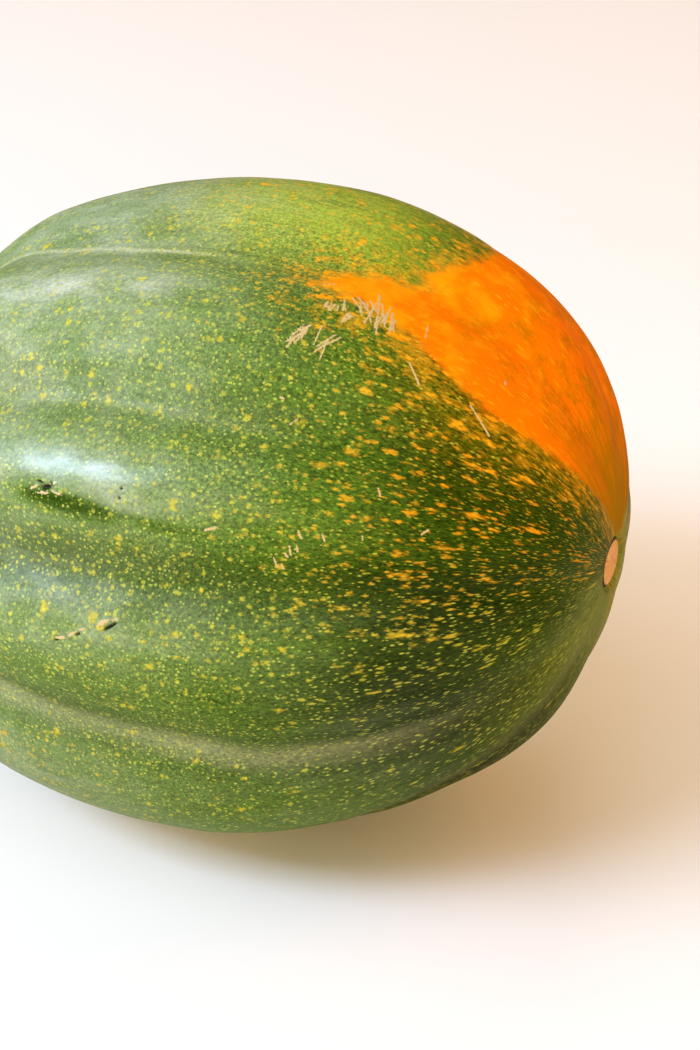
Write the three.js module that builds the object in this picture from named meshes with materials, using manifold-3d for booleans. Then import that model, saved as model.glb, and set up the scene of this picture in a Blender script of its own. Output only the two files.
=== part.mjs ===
// A ribbed acorn squash lying on its side, with the dry scar of its blossom at one end and a short
// cut stem at the other. Millimetres, +Z up. The growth axis runs along X, with the blossom end at +X.

import * as THREE from "three";
import { mergeVertices } from "three/addons/utils/BufferGeometryUtils.js";
import Module from "manifold-3d";

// Driving dimensions of the fruit, in millimetres. A half's fullness is the power of the sine in its
// outline: at 1 the half is an ellipse, and below 1 it is blunter. Its furrows get shallower towards
// the end, the faster the higher their fade, and stop at the bare radius.
const BELLY_RADIUS = 60;
const BLOSSOM_HALF = { length: 69.9, fullness: 0.913, furrowFade: 1.3, bareRadius: 6 };
const STEM_HALF = { length: 70.1, fullness: 0.997, furrowFade: 0.45, bareRadius: 10.5 };
const FULL_FURROW_RADIUS = 20;

// How far the growth axis drifts off X for each millimetre along it, and how far the fruit tips down.
const LEAN = { side: 0.032, up: 0.0515 };
const TIP_DEG = 1.59;

// The furrows between the ribs, as degrees round the growth axis: 0 is the front (-Y), 90 the top.
// They are uneven, as they grew. The last one is the first one again, a full turn on.
const FURROWS_DEG = [-17, 16, 44, 79.5, 117, 155, 194, 236, 269, 306, 343];
const FURROW_DEPTH = 3.2;
const FURROW_SOFTNESS = 0.3;

// The blossom scar is a flat corky disc with a groove round it, in the end of the skin.
const SCAR = { radius: 4.2, sunk: 0.5, grooveRadius: 4.9, grooveDepth: 1.0, rimRadius: 5.8 };

// The stem grows out of a flat-floored socket. The skin curves into it from the shoulder, pulled
// towards these two points, each a distance along the axis and a radius.
const SOCKET = { radius: 10.5, floor: 64.3 };
const SHOULDER_RADIUS = 20;
const SHOULDER_PULLS = [
  [66.4, 11.6],
  [68.2, 15],
];

// The stem stub: its radius at each distance from the foot, its ridges and its bend.
const STEM_GAP = 0.3;
const STEM_OUTLINE = [
  [9.4, 0],
  [9.0, 1.2],
  [7.4, 3.6],
  [6.3, 7.0],
  [5.9, 11.0],
  [6.2, 15.0],
  [6.6, 17.4],
  [6.1, 18.0],
];
const STEM_LENGTH = STEM_OUTLINE.at(-1)[1];
const STEM_CUT_DISH = 0.5;
const STEM_RIDGES = { count: 5, height: 0.13 };
const STEM_BEND = { side: 1.5, up: 2.2 };

// The squash has settled onto the ribs it lies on, which leaves a small flat spot on each.
const REST_FLAT = 0.6;

// How finely the curved surfaces are divided.
const STEPS_PER_RIB = 8;
const STEPS_PER_HALF = 14;
const SHOULDER_STEPS = 5;
const STEM_STEPS_ROUND = 30;

const wasm = await Module();
wasm.setup();

const radians = THREE.MathUtils.degToRad;

// A geometry with only its positions, and with the points that lie on one place made one.
function welded(geometry) {
  const bare = geometry.clone();
  bare.deleteAttribute("normal");
  bare.deleteAttribute("uv");
  return mergeVertices(bare);
}

function toSolid(geometry) {
  const { attributes, index } = welded(geometry);
  const mesh = new wasm.Mesh({
    numProp: 3,
    vertProperties: attributes.position.array,
    triVerts: new Uint32Array(index.array),
  });
  return new wasm.Manifold(mesh);
}

function toGeometry(solid) {
  const { vertProperties, triVerts } = solid.getMesh();
  const geometry = new THREE.BufferGeometry();
  geometry.setAttribute("position", new THREE.BufferAttribute(vertProperties, 3));
  geometry.setIndex(new THREE.BufferAttribute(triVerts, 1));
  geometry.computeVertexNormals();
  return geometry;
}

// The point at this reach from the growth axis. The angle is 0 at the front and 90 degrees at the top.
function aroundAxis(along, reach, angle) {
  return new THREE.Vector3(along, -reach * Math.cos(angle), reach * Math.sin(angle));
}

// Gives a point the lean and the tip that the whole squash has.
function settled(point) {
  const leant = new THREE.Vector3(
    point.x,
    point.y + LEAN.side * point.x,
    point.z + LEAN.up * point.x,
  );
  return leant.applyAxisAngle(new THREE.Vector3(0, 1, 0), radians(TIP_DEG));
}

// Turns an outline, as points of radius and distance along the axis, into a closed skin round the
// growth axis. shape gives each point its place from its distance along, its radius and its turn.
function turned(outline, stepsRound, shape) {
  const skin = welded(new THREE.LatheGeometry(outline, stepsRound));
  const position = skin.attributes.position;
  for (let i = 0; i < position.count; i += 1) {
    const radius = Math.hypot(position.getX(i), position.getZ(i));
    const turn = Math.atan2(position.getZ(i), position.getX(i));
    const place = settled(shape(position.getY(i), radius, turn));
    position.setXYZ(i, place.x, place.y, place.z);
  }
  return skin;
}

// A point of a half's outline. The angle is a quarter turn at the belly and 0 at the end.
function skinPoint(half, angle) {
  const radius = BELLY_RADIUS * Math.sin(angle) ** half.fullness;
  return new THREE.Vector2(radius, half.length * Math.cos(angle));
}

// The angle at which a half's outline comes in to a radius.
function angleAtRadius(half, radius) {
  return Math.asin((radius / BELLY_RADIUS) ** (1 / half.fullness));
}

// The outline of the whole fruit, from the middle of the socket over the belly to that of the scar.
function fruitOutline() {
  const mirrored = ({ x, y }) => new THREE.Vector2(x, -y);
  const belly = Math.PI / 2;

  const shoulderAngle = angleAtRadius(STEM_HALF, SHOULDER_RADIUS);
  const shoulder = new THREE.CubicBezierCurve(
    new THREE.Vector2(SOCKET.radius, -SOCKET.floor),
    ...SHOULDER_PULLS.map(([along, radius]) => new THREE.Vector2(radius, -along)),
    mirrored(skinPoint(STEM_HALF, shoulderAngle)),
  );
  const points = [new THREE.Vector2(0, -SOCKET.floor), ...shoulder.getPoints(SHOULDER_STEPS)];
  for (let i = 1; i < STEPS_PER_HALF; i += 1) {
    const angle = THREE.MathUtils.lerp(shoulderAngle, belly, i / STEPS_PER_HALF);
    points.push(mirrored(skinPoint(STEM_HALF, angle)));
  }

  const rimAngle = angleAtRadius(BLOSSOM_HALF, SCAR.rimRadius);
  for (let i = 0; i <= STEPS_PER_HALF; i += 1) {
    points.push(skinPoint(BLOSSOM_HALF, THREE.MathUtils.lerp(belly, rimAngle, i / STEPS_PER_HALF)));
  }
  const end = BLOSSOM_HALF.length;
  points.push(new THREE.Vector2(SCAR.grooveRadius, end - SCAR.grooveDepth));
  points.push(new THREE.Vector2(SCAR.radius, end - SCAR.sunk));
  points.push(new THREE.Vector2(0, end - SCAR.sunk));
  return points;
}

// How far a point is into the hollow between two ribs: 1 in the furrow and 0 on the crest of a rib.
function hollow(acrossRib) {
  const bulge = Math.hypot(Math.sin(Math.PI * acrossRib), FURROW_SOFTNESS) - FURROW_SOFTNESS;
  return 1 - bulge / (Math.hypot(1, FURROW_SOFTNESS) - FURROW_SOFTNESS);
}

function furrowDepth(along, radius, acrossRib) {
  const half = along > 0 ? BLOSSOM_HALF : STEM_HALF;
  const fade = (radius / BELLY_RADIUS) ** half.furrowFade;
  const onSkin = THREE.MathUtils.smoothstep(radius, half.bareRadius, FULL_FURROW_RADIUS);
  return FURROW_DEPTH * fade * onSkin * hollow(acrossRib);
}

function makeFruit() {
  const ribs = FURROWS_DEG.length - 1;
  const skin = turned(fruitOutline(), ribs * STEPS_PER_RIB, (along, radius, turn) => {
    const ribsRound = ((turn / (2 * Math.PI) + 1) * ribs) % ribs;
    const rib = Math.floor(ribsRound);
    const acrossRib = ribsRound - rib;
    const angle = THREE.MathUtils.lerp(FURROWS_DEG[rib], FURROWS_DEG[rib + 1], acrossRib);
    return aroundAxis(along, radius - furrowDepth(along, radius, acrossRib), radians(angle));
  });

  skin.computeBoundingBox();
  const { min, max } = skin.boundingBox;
  const underside = new THREE.BoxGeometry(max.x - min.x, max.y - min.y, REST_FLAT * 2);
  underside.translate((min.x + max.x) / 2, (min.y + max.y) / 2, min.z);
  const geometry = toGeometry(toSolid(skin).subtract(toSolid(underside)));

  const rind = new THREE.MeshStandardMaterial({ color: 0x55702f, roughness: 0.35, metalness: 0 });
  const fruit = new THREE.Mesh(geometry, rind);
  fruit.name = "squash_fruit";
  return fruit;
}

function makeStem() {
  const outline = [
    new THREE.Vector2(0, -STEM_LENGTH + STEM_CUT_DISH),
    ...STEM_OUTLINE.toReversed().map(([radius, out]) => new THREE.Vector2(radius, -out)),
    new THREE.Vector2(0, 0),
  ];
  const skin = turned(outline, STEM_STEPS_ROUND, (along, radius, turn) => {
    const ridge = 1 + STEM_RIDGES.height * Math.cos(STEM_RIDGES.count * turn);
    const point = aroundAxis(along - SOCKET.floor - STEM_GAP, radius * ridge, turn);
    const bent = (along / STEM_LENGTH) ** 2;
    point.y += STEM_BEND.side * bent;
    point.z += STEM_BEND.up * bent;
    return point;
  });

  const wood = new THREE.MeshStandardMaterial({ color: 0x8c7c50, roughness: 0.85, metalness: 0 });
  const stem = new THREE.Mesh(toGeometry(toSolid(skin)), wood);
  stem.name = "stem_stub";
  return stem;
}

// The origin is in the middle of the underside of the whole squash's box.
const squash = new THREE.Group();
squash.add(makeFruit(), makeStem());
const box = new THREE.Box3().setFromObject(squash);
const middle = box.getCenter(new THREE.Vector3());
squash.position.set(-middle.x, -middle.y, -box.min.z);

export default squash;
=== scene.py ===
"""An acorn squash lying on a pale table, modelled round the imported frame.

The fruit is turned from its outline round the growth axis, furrowed, leant and set down in the place of
the CAD fruit, then dented, torn and scratched as a fruit from the field is. Its colours follow growth
coordinates that are stored on its points: how far a point lies from the blossom scar along the skin, and
at which angle round the growth axis.
"""

import logging
import math
import random
from collections.abc import Callable, Sequence
from dataclasses import astuple, dataclass, field
from enum import Enum
from functools import partial
from typing import NamedTuple

import bmesh
import bpy
import numpy as np
from mathutils import Matrix, Quaternion, Vector


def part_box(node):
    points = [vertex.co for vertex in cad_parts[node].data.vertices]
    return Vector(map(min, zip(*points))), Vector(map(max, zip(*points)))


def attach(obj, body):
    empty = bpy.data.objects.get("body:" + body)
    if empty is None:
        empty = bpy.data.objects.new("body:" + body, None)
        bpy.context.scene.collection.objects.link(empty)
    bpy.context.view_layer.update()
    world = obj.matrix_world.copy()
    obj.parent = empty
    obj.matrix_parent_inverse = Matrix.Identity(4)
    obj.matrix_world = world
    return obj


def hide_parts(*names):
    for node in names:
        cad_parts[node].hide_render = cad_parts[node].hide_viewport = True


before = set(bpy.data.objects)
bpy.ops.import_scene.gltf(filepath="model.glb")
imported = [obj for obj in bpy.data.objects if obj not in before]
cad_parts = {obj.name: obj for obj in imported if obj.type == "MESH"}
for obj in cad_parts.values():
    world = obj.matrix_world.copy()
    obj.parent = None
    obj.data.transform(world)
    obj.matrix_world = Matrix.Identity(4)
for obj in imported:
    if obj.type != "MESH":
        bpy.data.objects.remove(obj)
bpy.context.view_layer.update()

MM = 0.001

log = logging.getLogger("squash")


class Finish(Enum):
    """The record's material slots that the pieces take their finish from."""

    RIND = "rind"
    STEM = "stem_wood"


class Element(Enum):
    """What is selected in a mesh, by the name of its select mode."""

    POINT = "VERT"
    FACE = "FACE"


# --- Materials -------------------------------------------------------------------------------------

Socket = bpy.types.NodeSocket
AddNode = Callable[..., Socket]
SOFT = "SMOOTHSTEP"


def linear(colour: str) -> tuple[float, float, float, float]:
    """Turns an sRGB colour into the linear one that shaders take.

    Args:
        colour: The colour as six hex digits.

    Returns:
        Linear red, green and blue, and an alpha of 1.
    """
    channels = (int(colour[i : i + 2], 16) / 255 for i in (0, 2, 4))
    red, green, blue = (c / 12.92 if c <= 0.04045 else ((c + 0.055) / 1.055) ** 2.4 for c in channels)
    return red, green, blue, 1.0


def new_material(name: str) -> bpy.types.Material:
    """Makes an empty node material.

    Args:
        name: The material's name.

    Returns:
        The material, without any nodes.
    """
    material = bpy.data.materials.new(name)
    material.use_nodes = True
    material.node_tree.nodes.clear()
    return material


def add_node(
    material: bpy.types.Material,
    kind: str,
    *values: object,
    named: dict[str, object] | None = None,
    out: str = "",
    **settings: object,
) -> Socket | None:
    """Adds a node to a material, with its settings and its links.

    Args:
        material: The material whose tree gets the node.
        kind: The node's type, without the leading ShaderNode.
        values: What the node's inputs in use get, in their order: an output of another node, or a value.
        named: What inputs get by their names.
        out: The name of the output to return. Without one it is the first output in use.
        settings: The node's own properties.

    Returns:
        That output, or None where the node has none.
    """
    tree = material.node_tree
    node = tree.nodes.new("ShaderNode" + kind)
    for name, value in settings.items():
        setattr(node, name, value)
    in_use = [socket for socket in node.inputs if socket.enabled]
    given = [*zip(in_use, values), *((node.inputs[name], value) for name, value in (named or {}).items())]
    for socket, value in given:
        if isinstance(value, Socket):
            tree.links.new(value, socket)
        else:
            socket.default_value = value
    found = [socket for socket in node.outputs if socket.enabled and out in ("", socket.name)]
    return found[0] if found else None


# The fruit's point attributes that its material reads, and what the x, y and z of each one hold.
SKIN_ATTRIBUTES = {
    "zones": ("arc", "blush", "bloom"),
    "harms": ("cork", "wound", "bruise"),
    "tints": ("olive", "lime", "gloss"),
    "seams": ("across", "pale_line", "shade"),
    "speckle": ("crowd", "warmth", "rust"),
}


@dataclass(frozen=True)
class SkinMaps:
    """What the fruit's point attributes tell its material, each as a node's output.

    Attributes:
        growth: The growth coordinates, in millimetres.
        calm: How even the skin's tone is.
        arc: The distance from the blossom end along the skin, in millimetres.
        blush: How deep a point lies inside the ground spot, in millimetres. Outside it is negative.
        bloom: The strength of the pale waxy bloom, which also paints sheen and light.
        cork: The mask of the corky scratches.
        wound: The mask of the pits under the torn skin.
        bruise: The mask of the dents, whose hollows get painted shade.
        olive: The strength of the olive tint.
        lime: The strength of the lime tint.
        gloss: The strength of the polish.
        across: The distance from the nearest furrow, in half-widths of its pale line.
        pale_line: The strength of that line, which is partly painted sheen.
        shade: How much painted shade darkens the skin, as a share.
        crowd: How crowded the flecks are.
        warmth: How warm the flecks' colour is.
        rust: How strongly amber shines through the green.
    """

    growth: Socket
    calm: Socket
    arc: Socket
    blush: Socket
    bloom: Socket
    cork: Socket
    wound: Socket
    bruise: Socket
    olive: Socket
    lime: Socket
    gloss: Socket
    across: Socket
    pale_line: Socket
    shade: Socket
    crowd: Socket
    warmth: Socket
    rust: Socket

    @classmethod
    def read(cls, node: AddNode) -> "SkinMaps":
        """Adds the nodes that read the attributes to a material.

        Args:
            node: Adds a node to that material.

        Returns:
            The sockets that they come out of.
        """
        growth = node("Attribute", attribute_name="growth", out="Vector")
        calm = node("Attribute", attribute_name="calm", out="Fac")
        parts = {}
        for attribute, names in SKIN_ATTRIBUTES.items():
            split = node("SeparateXYZ", node("Attribute", attribute_name=attribute, out="Vector")).node
            parts.update(zip(names, split.outputs))
        return cls(growth, calm, **parts)


@dataclass(frozen=True)
class FleckLayer:
    """One size of pale fleck in the rind.

    Attributes:
        spacing: The distance between neighbouring places for a fleck, in millimetres.
        radius: The largest fleck's radius, in millimetres.
        soft: The share of the radius over which a fleck fades out.
        ragged: How far the flecks' edges wander, in millimetres.
        grain: The size of the wandering, in millimetres.
        colours: The flecks' colours where they are cool and where they are warm.
        shares: The shares of the places that hold a fleck there, before crowding. Past 1 all do.
        strength: How much of the skin's own colour a fleck covers, as a share.
        spill: How far a fleck carries the ground spot's edge outwards, in millimetres.
    """

    spacing: float
    radius: float
    soft: float
    ragged: float
    grain: float
    colours: tuple[str, str]
    shares: tuple[float, float]
    strength: float
    spill: float = 0.0

    def mask(self, node: AddNode, maps: SkinMaps, crowding: Socket) -> Socket:
        """Scatters the flecks over the growth coordinates.

        Args:
            node: Adds a node to the rind material.
            maps: The fruit's attributes.
            crowding: How crowded the flecks are.

        Returns:
            A mask that is 1 inside a fleck and 0 outside.
        """
        wander = node("TexNoise", maps.growth, 1 / self.grain, 1.0, out="Color")
        wander = node("VectorMath", wander, (0.5, 0.5, 0.5), operation="SUBTRACT")
        # The noise seldom strays further than a quarter from its middle.
        reach = 4 * self.ragged
        moved = node("VectorMath", wander, (reach, reach, reach), maps.growth, operation="MULTIPLY_ADD")
        distance = node("TexVoronoi", moved, 1 / self.spacing)
        chance = node("SeparateColor", distance.node.outputs["Color"])
        # Radii run from two fifths of the largest up to the largest, by chance.
        size = self.radius / self.spacing
        edge = node("Math", chance.node.outputs[1], 0.6 * size, 0.4 * size, operation="MULTIPLY_ADD")
        inside = node("Math", edge, distance, operation="SUBTRACT")
        mask = node("MapRange", inside, 0.0, self.soft * size, interpolation_type=SOFT)
        share = node("MapRange", maps.warmth, 0.0, 1.0, *self.shares)
        share = node("Math", share, crowding, operation="MULTIPLY")
        shown = node("Math", chance, share, operation="LESS_THAN")
        return node("Math", mask, shown, operation="MULTIPLY")


@dataclass(frozen=True)
class RindFinish:
    """The waxy rind of a ripe acorn squash.

    A thin natural wax over hard skin gives a broad faint sheen, and a window's reflection where it is
    rubbed to a polish. The skin is deep green, closely stippled with yellow, and turns orange where the
    fruit lay on the ground.

    The sizes of its patterns are real ones in millimetres, unless they say metres: how far apart the
    streaks, the rows or the mottles are. The finest specks are 0.2 mm wide and the finest grain less, which
    is too fine to show, so both are drawn about twice as coarse as they are.

    Attributes:
        stem_green, belly_green, blossom_green: The skin's greens, from one end to the other.
        olive, rust, lime, bloom, bruise: The tints that zones and patches of it have: the pale
        bloom is also painted sheen and light, and the dents' deep green is painted shade.
        speck, straw, yellow, amber: The colours of the flecks.
        orange, light_orange, speckled_orange, ochre: The colours of the ground spot.
        pale_line, cork, wound: The colours of the furrow lines, partly painted sheen, the dry cork and the
            dark pits.
        stipple, dots, flecks, blotches: The pale flecks, from the finest to the largest.
        cloud: The slow drift between the greens.
        streak: The growth streaks, which run along the ribs and are ten times as long.
        grain: The grain in the skin's tone.
        fray: The unevenness under the flecks, and the frayed edge of a bruise.
        row: The loose rows that the flecks stand in, five times as long.
        smudge: The smudges in the wax across the rib, twice as long.
        ripple: The wandering of the ground spot's edge, and the amber smears round it.
        dash: The dashes at the ground spot's worn end, nearly seven times as long.
        shred: The shredded edges of the cork.
        pore: The pores in the skin.
        patch: The lighter patches in the ground spot, in metres.
        mottle: The ochre mottles in it, in metres.
        roughness: The roughness of the skin.
        dullness: How much rougher the cork and the ground spot are.
        ior: The skin's index of refraction.
        sheen: The level of the bare skin's own reflection.
        wax_roughness: The roughness of the wax where it is polished.
        relief: The height of the pores and the flecks, in metres.
    """

    stem_green: str = "5e7637"
    belly_green: str = "4e6920"
    blossom_green: str = "35490a"
    olive: str = "727e36"
    rust: str = "7e6c04"
    lime: str = "96a836"
    # The pale bloom colour also paints sheen and light.
    bloom: str = "aab4a2"
    # The deep green painted into the dents is painted shade.
    bruise: str = "2c4204"
    speck: str = "b2be5a"
    straw: str = "b2b446"
    yellow: str = "b9b03c"
    amber: str = "dfa022"
    orange: str = "e67d02"
    light_orange: str = "ea960a"
    speckled_orange: str = "eca61c"
    ochre: str = "967204"
    # The furrows' pale line is partly the skin's own colour and partly painted sheen.
    pale_line: str = "a8ae86"
    cork: str = "baa87c"
    wound: str = "1c1808"
    stipple: FleckLayer = FleckLayer(0.68, 0.34, 0.6, 0.05, 0.3, (speck, yellow), (1.0, 1.0), 0.64)
    dots: FleckLayer = FleckLayer(1.15, 0.6, 0.7, 0.16, 0.4, (straw, amber), (1.15, 1.15), 0.7, 1.2)
    flecks: FleckLayer = FleckLayer(1.8, 0.92, 0.85, 0.3, 0.6, (yellow, amber), (0.45, 1.1), 0.85, 2.6)
    blotches: FleckLayer = FleckLayer(3.3, 1.45, 0.75, 0.5, 0.9, (yellow, amber), (0.14, 1.0), 0.9, 3.6)
    cloud: float = 14.3
    streak: float = 0.91
    grain: float = 0.5
    fray: float = 0.667
    row: float = 2.94
    smudge: float = 5.0
    ripple: float = 2.0
    dash: float = 1.67
    shred: float = 0.385
    pore: float = 0.625
    patch: float = 4.55 * MM
    mottle: float = 5.88 * MM
    roughness: float = 0.42
    dullness: float = 0.35
    ior: float = 1.46
    sheen: float = 0.03
    wax_roughness: float = 0.24
    relief: float = 0.12 * MM

    def greens(self, node: AddNode, maps: SkinMaps) -> Socket:
        """Mixes the greens of the skin between the flecks, which follow the growth of the fruit.

        Args:
            node: Adds a node to the rind material.
            maps: The fruit's attributes.

        Returns:
            The colour.
        """
        along = node("Mapping", maps.growth, named={"Scale": (1, 1, 0.1)})
        streaks = node("TexNoise", along, 1 / self.streak, 4.0, 0.65)
        clouds = node("TexNoise", maps.growth, 1 / self.cloud, 3.0)
        # Each change of green runs over about 30 mm and wanders by up to 15 mm either way.
        wander = node("Math", maps.arc, 15.0, operation="SUBTRACT")
        wander = node("Math", clouds, 30.0, wander, operation="MULTIPLY_ADD")
        far = node("MapRange", wander, 72.0, 104.0, interpolation_type=SOFT)
        near = node("MapRange", wander, 74.0, 46.0, interpolation_type=SOFT)
        lime = node("Math", streaks, 0.8, operation="MULTIPLY")
        lime = node("Math", clouds, 1.6, lime, operation="MULTIPLY_ADD")
        lime = node("Math", node("MapRange", lime, 0.6, 1.25), maps.lime, operation="MULTIPLY")
        # The dents' hollows are painted a deep green, as painted shade.
        frayed = node("TexNoise", maps.growth, 1 / self.fray, 3.0, 0.6)
        frayed = node("Math", frayed, 0.5, operation="SUBTRACT")
        dent_shaded = node("Math", frayed, 1.8, maps.bruise, operation="MULTIPLY_ADD")
        dent_shaded = node("MapRange", dent_shaded, 0.15, 0.95, 0.0, 0.95, interpolation_type=SOFT)
        colour = linear(self.belly_green)
        for amount, tint in (
            (far, self.stem_green),
            (near, self.blossom_green),
            (maps.olive, self.olive),
            (maps.rust, self.rust),
            (lime, self.lime),
            (dent_shaded, self.bruise),
        ):
            colour = node("Mix", amount, colour, linear(tint), data_type="RGBA")

        # Painted shade darkens the skin in the furrows and on some flanks, and its tone wanders in streaks
        # and in grains.
        grain = node("TexNoise", maps.growth, 1 / self.grain, 2.0, 0.8)
        tone = node("Math", 1.08, maps.shade, operation="SUBTRACT")
        tone = node("Math", node("MapRange", streaks, 0.3, 0.7, 0.84, 1.16), tone, operation="MULTIPLY")
        grainy = node("Mix", maps.calm, node("MapRange", grain, 0.35, 0.65, 0.52, 1.44), 1.0)
        tone = node("Math", grainy, tone, operation="MULTIPLY")
        colour = node("HueSaturation", named={"Value": tone, "Color": colour})

        # A pale line runs along the bottom of most furrows: partly the skin's own, partly painted sheen.
        # Its edges follow the streaks.
        edge = node("Math", streaks, 0.5, operation="SUBTRACT")
        edge = node("Math", edge, 0.9, maps.across, operation="MULTIPLY_ADD")
        line = node("MapRange", edge, 1.2, 0.0, interpolation_type=SOFT)
        line = node("Math", line, node("MapRange", grain, 0.35, 0.65, 0.6, 1.1), operation="MULTIPLY")
        line = node("Math", line, maps.pale_line, operation="MULTIPLY")
        return node("Mix", line, colour, linear(self.pale_line), data_type="RGBA")

    def flecked(self, node: AddNode, maps: SkinMaps, skin: Socket) -> tuple[Socket, list[Socket]]:
        """Strews the flecks over the skin, yellow over the belly and amber towards the ground spot.

        Args:
            node: Adds a node to the rind material.
            maps: The fruit's attributes.
            skin: The skin's colour without them.

        Returns:
            The colour with them, and the mask of each size of fleck.
        """
        rows = node("Mapping", maps.growth, named={"Scale": (1, 1, 0.2)})
        rows = node("TexNoise", rows, 1 / self.row, 2.0)
        crowding = node("MapRange", rows, 0.35, 0.65, 0.55, 1.0)
        crowding = node("Math", crowding, maps.crowd, operation="MULTIPLY")
        masks = [self.stipple.mask(node, maps, node("MapRange", rows, 0.3, 0.7, 0.8, 1.0))]
        masks += [layer.mask(node, maps, crowding) for layer in (self.dots, self.flecks, self.blotches)]
        for layer, mask in zip((self.stipple, self.dots, self.flecks, self.blotches), masks):
            colour = node("Mix", maps.warmth, *map(linear, layer.colours), data_type="RGBA")
            amount = node("Math", mask, layer.strength, operation="MULTIPLY")
            skin = node("Mix", amount, skin, colour, data_type="RGBA")

        # Amber shines through the green skin in soft smears near the ground spot.
        smears = node("TexNoise", maps.growth, 1 / self.ripple, 3.0, 0.6)
        halo = node("MapRange", maps.blush, -20.0, 0.0, -0.3, 0.1)
        halo = node("MapRange", node("Math", smears, halo, operation="ADD"), 0.48, 0.72, 0.0, 0.5)
        skin = node("Mix", halo, skin, linear(self.amber), data_type="RGBA")
        uneven = node("TexNoise", maps.growth, 1 / self.fray, 2.0, 0.7)
        uneven = node("MapRange", uneven, 0.35, 0.65, 0.82, 1.18)
        return node("HueSaturation", named={"Value": uneven, "Color": skin}), masks

    def ground_spot(
        self, node: AddNode, maps: SkinMaps, masks: Sequence[Socket]
    ) -> tuple[Socket, Socket]:
        """Colours the orange spot where the fruit lay on the ground.

        Args:
            node: Adds a node to the rind material.
            maps: The fruit's attributes.
            masks: The masks of the flecks, from the finest to the largest.

        Returns:
            The spot's mask and its colour.
        """
        # Its edge wanders and joins up with the flecks.
        ripple = node("Mapping", maps.growth, named={"Scale": (1, 1, 0.8)})
        ripple = node("TexNoise", ripple, 1 / self.ripple, 4.0, 0.55)
        ripple = node("Math", ripple, 0.5, operation="SUBTRACT")
        reach = node("Math", ripple, 5.0, maps.blush, operation="MULTIPLY_ADD")
        _, dots, flecks, _ = masks
        for layer, mask in zip((self.dots, self.flecks, self.blotches), masks[1:]):
            reach = node("Math", mask, layer.spill, reach, operation="MULTIPLY_ADD")
        spot = node("MapRange", reach, -1.2, 2.4, interpolation_type=SOFT)

        # Lighter patches, more of them away from the blossom end.
        place = node("TexCoord", out="Object")
        patches = node("MapRange", maps.arc, 44.0, 76.0, -0.08, 0.2)
        patches = node("Math", node("TexNoise", place, 1 / self.patch, 4.0), patches, operation="ADD")
        patches = node("MapRange", patches, 0.42, 0.74, interpolation_type=SOFT)
        # Ochre mottles, fainter towards the edge.
        mottles = node("TexNoise", place, 1 / self.mottle, 6.0, 0.75)
        deep = node("MapRange", maps.blush, 3.0, 16.0, 0.1, 1.0)
        mottles = node("Math", node("MapRange", mottles, 0.45, 0.62, 0.0, 0.6), deep, operation="MULTIPLY")
        dotted = node("Math", node("Math", dots, flecks, operation="MAXIMUM"), 0.6, operation="MULTIPLY")
        # It wears off in dashes at the blossom end.
        dashes = node("Mapping", maps.growth, named={"Scale": (1, 1, 0.15)})
        dashes = node("TexNoise", dashes, 1 / self.dash, 3.0, 0.6)
        worn = node("Math", dashes, 46.0, maps.arc, operation="MULTIPLY_ADD")
        worn = node("MapRange", worn, 64.0, 30.0, interpolation_type=SOFT)
        glow = linear(self.orange)
        for amount, tint in (
            (patches, self.light_orange),
            (mottles, self.ochre),
            (dotted, self.speckled_orange),
            (worn, self.ochre),
        ):
            glow = node("Mix", amount, glow, linear(tint), data_type="RGBA")
        return spot, glow

    def material(self) -> bpy.types.Material:
        """Builds the rind's material on the fruit's own point attributes.

        Returns:
            The material.
        """
        rind = new_material("waxy_squash_rind")
        node: AddNode = partial(add_node, rind)
        maps = SkinMaps.read(node)
        skin = self.greens(node, maps)
        # The bloom with its painted sheen, and the polish, are smudged, and a dent has less of both.
        smudges = node("Mapping", maps.growth, named={"Scale": (1, 1, 0.5)})
        smudges = node("TexNoise", smudges, 1 / self.smudge, 4.0, 0.6)
        smudges = node("MapRange", smudges, 0.36, 0.64, 0.5, 1.3)
        wax_and_sheen_masks = (maps.bloom, maps.gloss)
        worn = [node("Math", maps.bruise, -0.5, wax_and_sheen_mask, operation="MULTIPLY_ADD") for wax_and_sheen_mask in wax_and_sheen_masks]
        worn = [node("Math", wax_and_sheen_mask, 0.0, operation="MAXIMUM") for wax_and_sheen_mask in worn]
        bloom, gloss = (node("Math", wax_and_sheen_mask, smudges, operation="MULTIPLY") for wax_and_sheen_mask in worn)
        # Pale waxy bloom, which in places is painted sheen and painted light.
        skin = node("Mix", bloom, skin, linear(self.bloom), data_type="RGBA")
        skin, masks = self.flecked(node, maps, skin)
        spot, glow = self.ground_spot(node, maps, masks)
        skin = node("Mix", spot, skin, glow, data_type="RGBA")

        # Dry cork in the scratches, and dark pits under the torn skin.
        shreds = node("TexNoise", maps.growth, 1 / self.shred, 2.0)
        shreds = node("Math", shreds, 0.5, operation="SUBTRACT")
        corky = node("Math", shreds, 1.8, maps.cork, operation="MULTIPLY_ADD")
        corky = node("MapRange", corky, 0.25, 0.75)
        corky = node("Math", corky, node("MapRange", maps.cork, 0.02, 0.15), operation="MULTIPLY")
        skin = node("Mix", corky, skin, linear(self.cork), data_type="RGBA")
        skin = node("Mix", maps.wound, skin, linear(self.wound), data_type="RGBA")

        height = node("TexNoise", maps.growth, 1 / self.pore, 3.0, 0.6)
        for mask, rise in zip(masks, (0.15, 0.2)):
            height = node("Math", mask, rise, height, operation="MULTIPLY_ADD")
        bump = node("Bump", named={"Height": height, "Distance": self.relief, "Strength": 0.6})
        dull = node("Math", maps.cork, spot, operation="MAXIMUM")
        rough = node("Math", dull, self.dullness, self.roughness, operation="MULTIPLY_ADD")
        shader = node(
            "BsdfPrincipled",
            named={
                "Base Color": skin,
                "Roughness": rough,
                "IOR": self.ior,
                "Specular IOR Level": self.sheen,
                "Coat Weight": gloss,
                "Coat Roughness": self.wax_roughness,
                "Normal": bump,
            },
        )
        node("OutputMaterial", shader)
        return rind


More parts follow.
